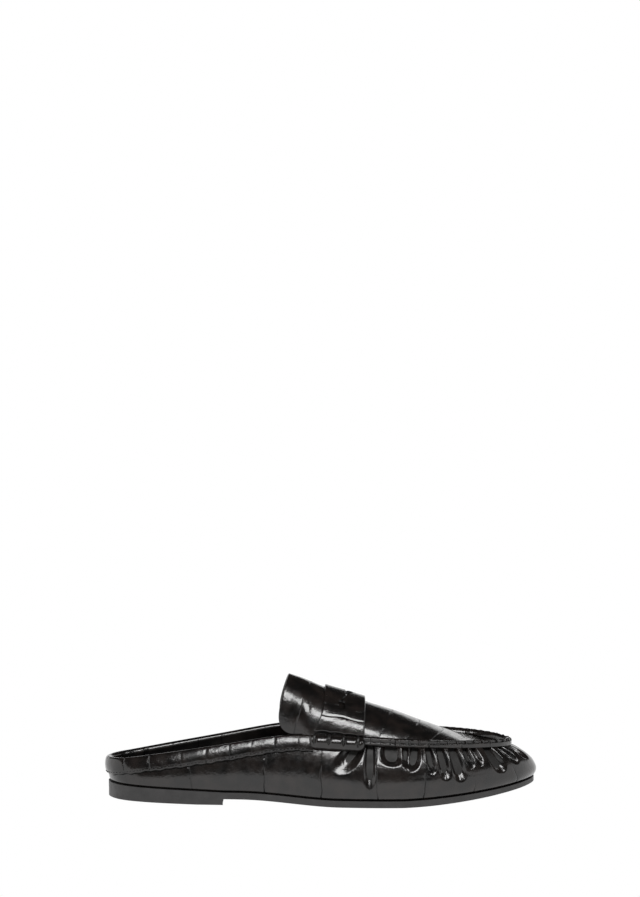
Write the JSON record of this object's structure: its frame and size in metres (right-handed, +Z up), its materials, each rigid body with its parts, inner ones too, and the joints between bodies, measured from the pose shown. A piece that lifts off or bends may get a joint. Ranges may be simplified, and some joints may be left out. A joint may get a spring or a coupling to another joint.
{
  "type": "loafer mule",
  "caption": "Backless loafer in glossy dark brown embossed leather, with a gathered apron toe, a slotted saddle strap and a low flat heel.",
  "frame": {"origin": "on the floor under the flat of the heel, 58 mm in front of the back of the shoe, on the line of the heel's middle", "axes": "+X towards the toe, +Y towards the inner side of the right foot, +Z up"},
  "size_m": [0.2541, 0.0849, 0.073],
  "materials": {
    "embossed_leather": "glossy patent coat over a large scaled emboss",
    "sole_edge": "smooth and nearly matt",
    "lining_leather": "soft satin"
  },
  "bodies": {
    "root": {"outsole": "sole_edge", "heel": "sole_edge", "insole": "lining_leather", "upper": "embossed_leather", "collar_band": "embossed_leather", "apron_seam": "embossed_leather", "stitched_roll_outer": "embossed_leather", "stitched_roll_inner": "embossed_leather", "saddle_strap": "embossed_leather"}
  },
  "joints": []
}
